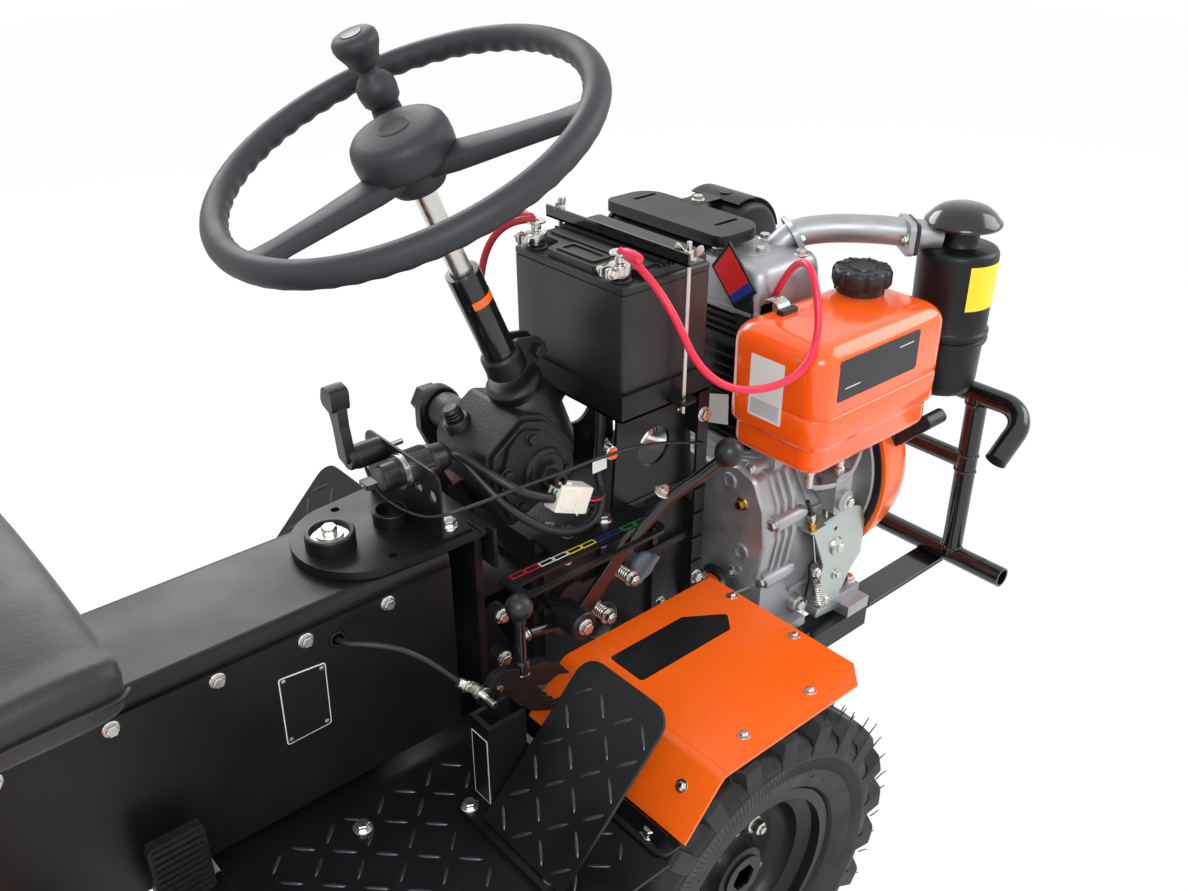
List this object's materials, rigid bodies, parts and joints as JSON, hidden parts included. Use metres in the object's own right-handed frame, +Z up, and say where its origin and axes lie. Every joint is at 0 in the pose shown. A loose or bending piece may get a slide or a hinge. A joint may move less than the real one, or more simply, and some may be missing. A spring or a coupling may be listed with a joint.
{
  "type": "compact articulated tractor",
  "caption": "Compact articulated tractor with single diesel engine, open driving deck, steering wheel, seat, fenders and tube nose guard.",
  "frame": {"origin": "on the ground, at the middle of the overall length and width", "axes": "+X forward, +Y to the tractor's left, +Z up"},
  "size_m": [1.745, 0.76, 1.1999],
  "materials": {
    "orange_paint": "powder coated, gloss",
    "black_paint": "powder coated, gloss",
    "black_casting": "painted casting",
    "engine_casting": "die cast",
    "zinc_steel": "zinc plated",
    "black_plastic": "moulded, grained",
    "tyre_rubber": "moulded",
    "seat_vinyl": "grained vinyl",
    "red_cable": "PVC sheath",
    "black_cable": "PVC sheath"
  },
  "bodies": {
    "front_unit": {"air_cleaner": "black_paint", "battery": "black_plastic", "battery_cables": "red_cable", "battery_clamp": "zinc_steel", "battery_stand": "black_paint", "battery_tray": "black_paint", "brake_cable": "black_cable", "brake_latch": "black_paint", "brake_pedal": "black_paint", "clutch_pedal": "black_paint", "control_bracket": "black_paint", "cylinder_head": "engine_casting", "engine_block": "engine_casting", "fan_housing": "orange_paint", "floor_bearers": "black_paint", "front_axle": "black_casting", "front_fender_left": "orange_paint", "front_fender_right": "orange_paint", "front_floor": "black_paint", "front_frame": "black_paint", "front_guard": "black_paint", "fuel_cap": "black_plastic", "fuel_tank": "orange_paint", "gear_gate": "black_paint", "gear_lever": "black_paint", "gearbox": "black_casting", "injection_pump": "zinc_steel", "intake_elbow": "engine_casting", "muffler": "black_paint", "pivot_bracket": "black_paint", "pivot_foot": "black_paint", "steering_box": "black_casting", "throttle_cable": "black_cable", "wiring_loom": "black_cable"},
    "seat_unit": {"tunnel": "black_paint", "tunnel_cover_left": "black_paint", "tunnel_cover_right": "black_paint", "pivot_pin": "zinc_steel", "steering_horn": "black_paint", "rear_axle": "black_casting", "rear_fender_left": "orange_paint", "rear_fender_right": "orange_paint", "seat_post": "black_paint", "seat": "seat_vinyl", "rear_hitch": "black_paint"},
    "steering_wheel": {"steering_wheel": "black_plastic", "steering_shaft": "zinc_steel"},
    "pitman_arm": {"pitman_arm": "black_casting"},
    "drag_link": {"drag_link": "zinc_steel"},
    "front_left_wheel": {"tyre_front_left": "tyre_rubber", "wheel_front_left": "black_paint"},
    "front_right_wheel": {"tyre_front_right": "tyre_rubber", "wheel_front_right": "black_paint"},
    "rear_left_wheel": {"tyre_rear_left": "tyre_rubber", "wheel_rear_left": "black_paint"},
    "rear_right_wheel": {"tyre_rear_right": "tyre_rubber", "wheel_rear_right": "black_paint"}
  },
  "joints": [
    {"name": "articulation", "type": "hinge", "parent": "front_unit", "child": "seat_unit", "pos_m": [-0.0495, 0, 0.56], "axis": [0, 0, 1], "range_deg": [-30, 30], "deforming": ["brake_cable"]},
    {"name": "steering_wheel_turn", "type": "hinge", "parent": "front_unit", "child": "steering_wheel", "pos_m": [0.0765, 0, 1.105], "axis": [-0.3907, 0, 0.9205], "range_deg": [-470, 470]},
    {"name": "pitman_swing", "type": "hinge", "parent": "front_unit", "child": "pitman_arm", "pos_m": [0.1855, 0.145, 0.736], "axis": [0, 1, 0], "range_deg": [-30, 30]},
    {"name": "drag_link_eye", "type": "hinge", "parent": "pitman_arm", "child": "drag_link", "pos_m": [0.1855, 0.159, 0.586], "axis": [0, 1, 0], "range_deg": [-30, 30]},
    {"name": "front_left_roll", "type": "hinge", "parent": "front_unit", "child": "front_left_wheel", "pos_m": [0.2775, 0.3025, 0.237], "axis": [0, 1, 0], "continuous": true},
    {"name": "front_right_roll", "type": "hinge", "parent": "front_unit", "child": "front_right_wheel", "pos_m": [0.2775, -0.3025, 0.237], "axis": [0, 1, 0], "continuous": true},
    {"name": "rear_left_roll", "type": "hinge", "parent": "seat_unit", "child": "rear_left_wheel", "pos_m": [-0.5925, 0.3025, 0.237], "axis": [0, 1, 0], "continuous": true},
    {"name": "rear_right_roll", "type": "hinge", "parent": "seat_unit", "child": "rear_right_wheel", "pos_m": [-0.5925, -0.3025, 0.237], "axis": [0, 1, 0], "continuous": true}
  ],
  "couplings": [
    {"joint": "pitman_swing", "follows": "articulation", "ratio": 0.967},
    {"joint": "drag_link_eye", "follows": "articulation", "ratio": -0.967},
    {"joint": "steering_wheel_turn", "follows": "articulation", "ratio": -15.5}
  ]
}
